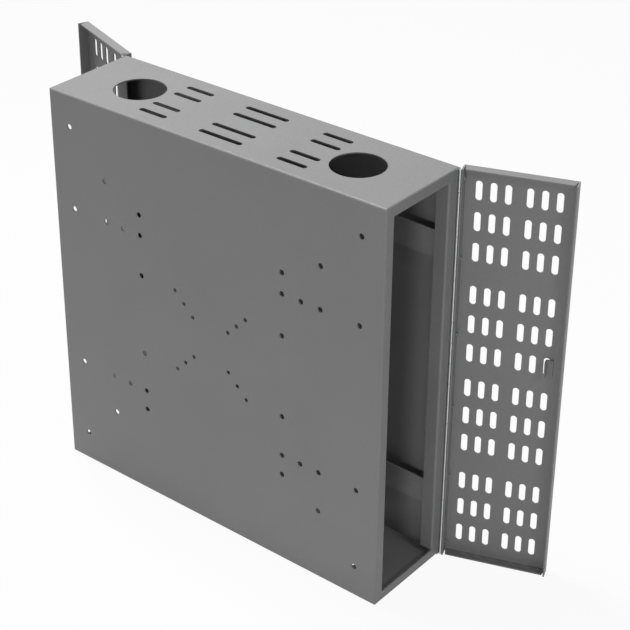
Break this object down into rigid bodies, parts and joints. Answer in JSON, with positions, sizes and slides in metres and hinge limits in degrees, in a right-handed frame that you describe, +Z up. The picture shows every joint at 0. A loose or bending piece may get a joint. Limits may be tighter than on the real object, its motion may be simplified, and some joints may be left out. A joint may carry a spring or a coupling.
{
  "type": "digital signage enclosure",
  "caption": "Folded sheet-metal box that bolts behind a display, with vent slots, cable holes and a perforated door on a long hinge at each side",
  "frame": {"origin": "centre of the underside, halfway through the depth", "axes": "+X to the right as seen from the front plate, +Y from the front plate to the back panel, +Z up"},
  "size_m": [0.6854, 0.1696, 0.477],
  "materials": {
    "powder_coat": "fine textured grey powder coat",
    "zinc_steel": "bright zinc plate",
    "rivet_aluminium": "plain drawn"
  },
  "bodies": {
    "box": {"front_shell": "powder_coat", "back_panel": "powder_coat", "upper_cross_strap": "powder_coat", "lower_cross_strap": "powder_coat", "right_hinge_box_leaf": "zinc_steel", "left_hinge_box_leaf": "zinc_steel", "right_hinge_pin": "zinc_steel", "left_hinge_pin": "zinc_steel", "right_box_rivets": "rivet_aluminium", "left_box_rivets": "rivet_aluminium"},
    "right_door_body": {"right_door": "powder_coat", "right_lock_tab": "powder_coat", "right_hinge_door_leaf": "zinc_steel", "right_door_rivets": "rivet_aluminium"},
    "left_door_body": {"left_door": "powder_coat", "left_lock_tab": "powder_coat", "left_hinge_door_leaf": "zinc_steel", "left_door_rivets": "rivet_aluminium"}
  },
  "joints": [
    {"name": "right_door_hinge", "type": "hinge", "parent": "box", "child": "right_door_body", "pos_m": [0.2316, 0.0577, 0.2385], "axis": [0, 0, 1], "range_deg": [-110, 0]},
    {"name": "left_door_hinge", "type": "hinge", "parent": "box", "child": "left_door_body", "pos_m": [-0.2316, 0.0577, 0.2385], "axis": [0, 0, 1], "range_deg": [0, 110]}
  ]
}
